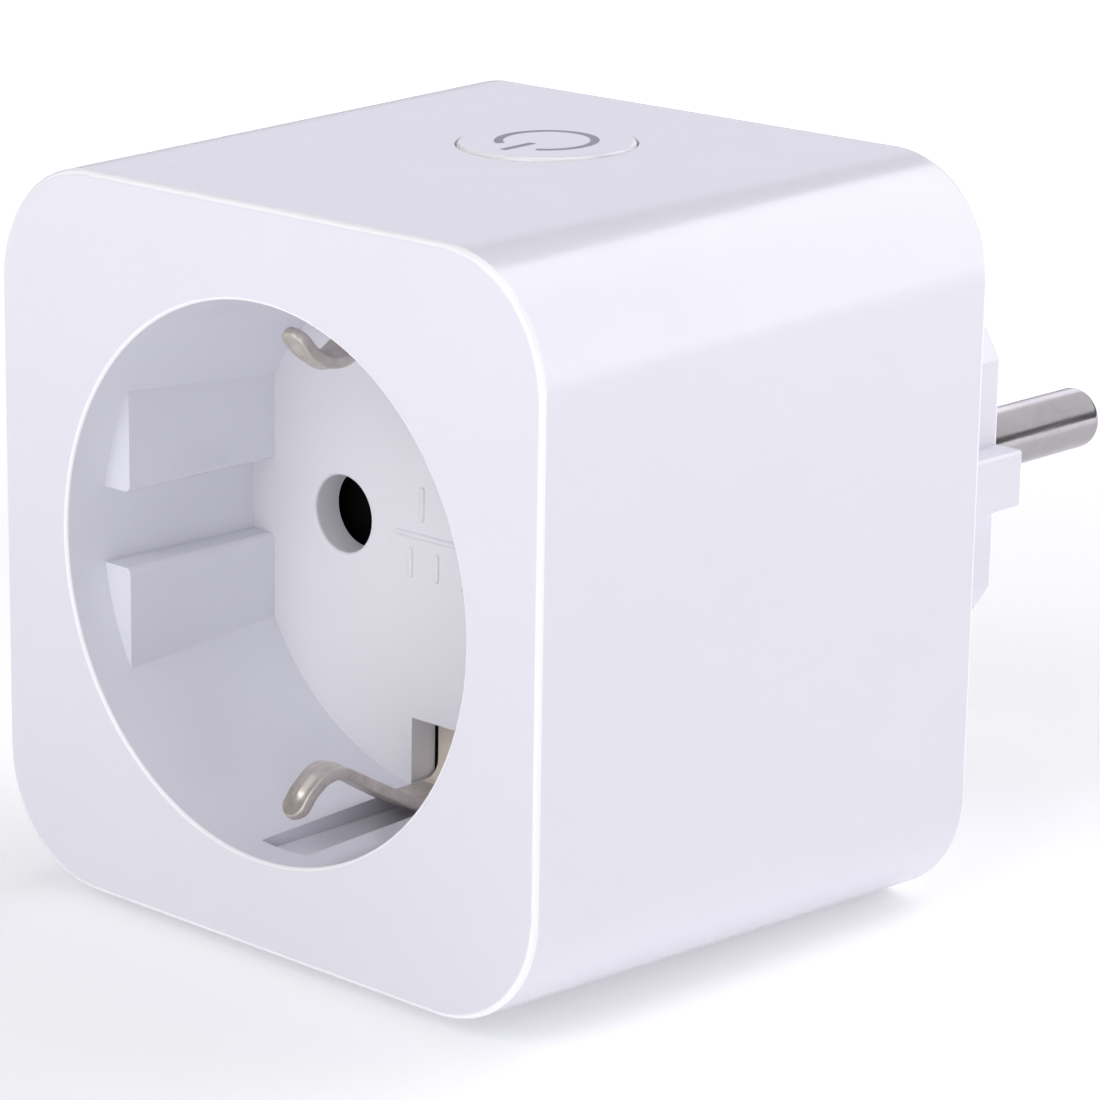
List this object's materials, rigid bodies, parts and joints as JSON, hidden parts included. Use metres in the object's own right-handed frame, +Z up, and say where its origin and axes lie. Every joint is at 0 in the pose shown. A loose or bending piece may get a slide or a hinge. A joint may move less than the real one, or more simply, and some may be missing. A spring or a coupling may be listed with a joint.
{
  "type": "plug-in socket power meter",
  "caption": "Cube-shaped plug-in socket adapter with a power meter inside: recessed earthed socket in front, two-pin plug behind, round push button on top.",
  "frame": {"origin": "on the standing surface, under the middle of the whole object in X and Y", "axes": "+Y from the socket face back along the socket axis to the pin tips, +Z up to the button, +X to the right seen from the socket side"},
  "size_m": [0.0544, 0.0808, 0.0549],
  "materials": {
    "white_housing": "satin-gloss moulded, off-white",
    "white_insert": "satin moulded, white",
    "nickel": "nickel plated",
    "steel": "zinc plated",
    "brass": "plain",
    "black_plastic": "matte",
    "icon_grey": "translucent grey",
    "circuit_board": "solder mask",
    "dark_plunger": "matte",
    "led_lens": "clear",
    "tinned_shield": "tinned",
    "copper": "tinned copper",
    "relay_blue": "gloss",
    "coil_copper": "enamelled wire",
    "capacitor_yellow": "box capacitor",
    "ferrite": "sintered",
    "winding_tape": "polyester tape",
    "capacitor_sleeve": "shrink sleeve",
    "varistor_blue": "epoxy",
    "resistor_body": "flameproof coat",
    "chip_black": "moulded"
  },
  "bodies": {
    "housing": {"front_shell": "white_housing", "rear_cover": "white_housing", "rear_screws": "steel", "plug_pin_left": "nickel", "plug_pin_right": "nickel", "plug_earth_contact_top": "nickel", "plug_earth_contact_bottom": "nickel", "plug_earth_yoke": "nickel", "earth_pin_sleeve": "nickel", "earth_link": "brass", "socket_floor": "white_insert", "contact_carrier": "black_plastic", "carrier_screws": "steel", "live_contact": "brass", "neutral_contact": "brass", "earth_bridge": "nickel", "shutter_spring": "steel", "control_board": "circuit_board", "tact_switch_body": "black_plastic", "status_led": "led_lens", "radio_board": "circuit_board", "radio_shield": "tinned_shield", "board_header": "black_plastic", "main_board": "circuit_board", "live_strap": "copper", "neutral_strap": "copper", "relay_base": "black_plastic", "relay_case": "relay_blue", "relay_coil": "coil_copper", "relay_yoke": "steel", "filter_capacitor": "capacitor_yellow", "transformer_core": "ferrite", "transformer_winding": "winding_tape", "bulk_capacitor_1": "capacitor_sleeve", "bulk_capacitor_2": "capacitor_sleeve", "varistor": "varistor_blue", "fuse_resistor": "resistor_body", "filter_inductor": "ferrite", "current_shunt": "copper", "metering_chip": "chip_black", "bridge_rectifier": "chip_black", "voltage_regulator": "chip_black"},
    "button": {"button_cap": "white_housing", "button_icon": "icon_grey"},
    "plunger": {"tact_switch_plunger": "dark_plunger"},
    "shutter": {"shutter_disc": "black_plastic"},
    "clip_bottom": {"earth_clip_bottom": "nickel"},
    "clip_top": {"earth_clip_top": "nickel"},
    "armature": {"relay_armature": "steel"}
  },
  "joints": [
    {"name": "button_press", "type": "slide", "parent": "housing", "child": "button", "axis": [0, 0.027, -0.9996], "range_m": [0, 0.0004], "stiffness_N_per_m": 4000, "springref_m": -0.0002},
    {"name": "plunger_press", "type": "slide", "parent": "housing", "child": "plunger", "axis": [0, 0, -1], "range_m": [0, 0.0004]},
    {"name": "shutter_turn", "type": "hinge", "parent": "housing", "child": "shutter", "pos_m": [0, -0.01885, 0.02745], "axis": [0, 1, 0], "range_deg": [0, 40], "stiffness_Nm_per_rad": 0.002, "springref_deg": -17.19},
    {"name": "clip_bottom_flex", "type": "hinge", "parent": "housing", "child": "clip_bottom", "pos_m": [0, -0.02387, 0.00845], "axis": [1, 0, 0], "range_deg": [0, 5], "stiffness_Nm_per_rad": 0.7, "springref_deg": -1.15},
    {"name": "clip_top_flex", "type": "hinge", "parent": "housing", "child": "clip_top", "pos_m": [0, -0.02387, 0.04645], "axis": [-1, 0, 0], "range_deg": [0, 5], "stiffness_Nm_per_rad": 0.7, "springref_deg": -1.15},
    {"name": "armature_pull", "type": "hinge", "parent": "housing", "child": "armature", "pos_m": [0.0054, -0.00425, 0.01245], "axis": [0, 0, -1], "range_deg": [0, 5], "stiffness_Nm_per_rad": 0.01, "springref_deg": -5.73}
  ],
  "couplings": [
    {"joint": "plunger_press", "follows": "button_press", "ratio": 1}
  ]
}
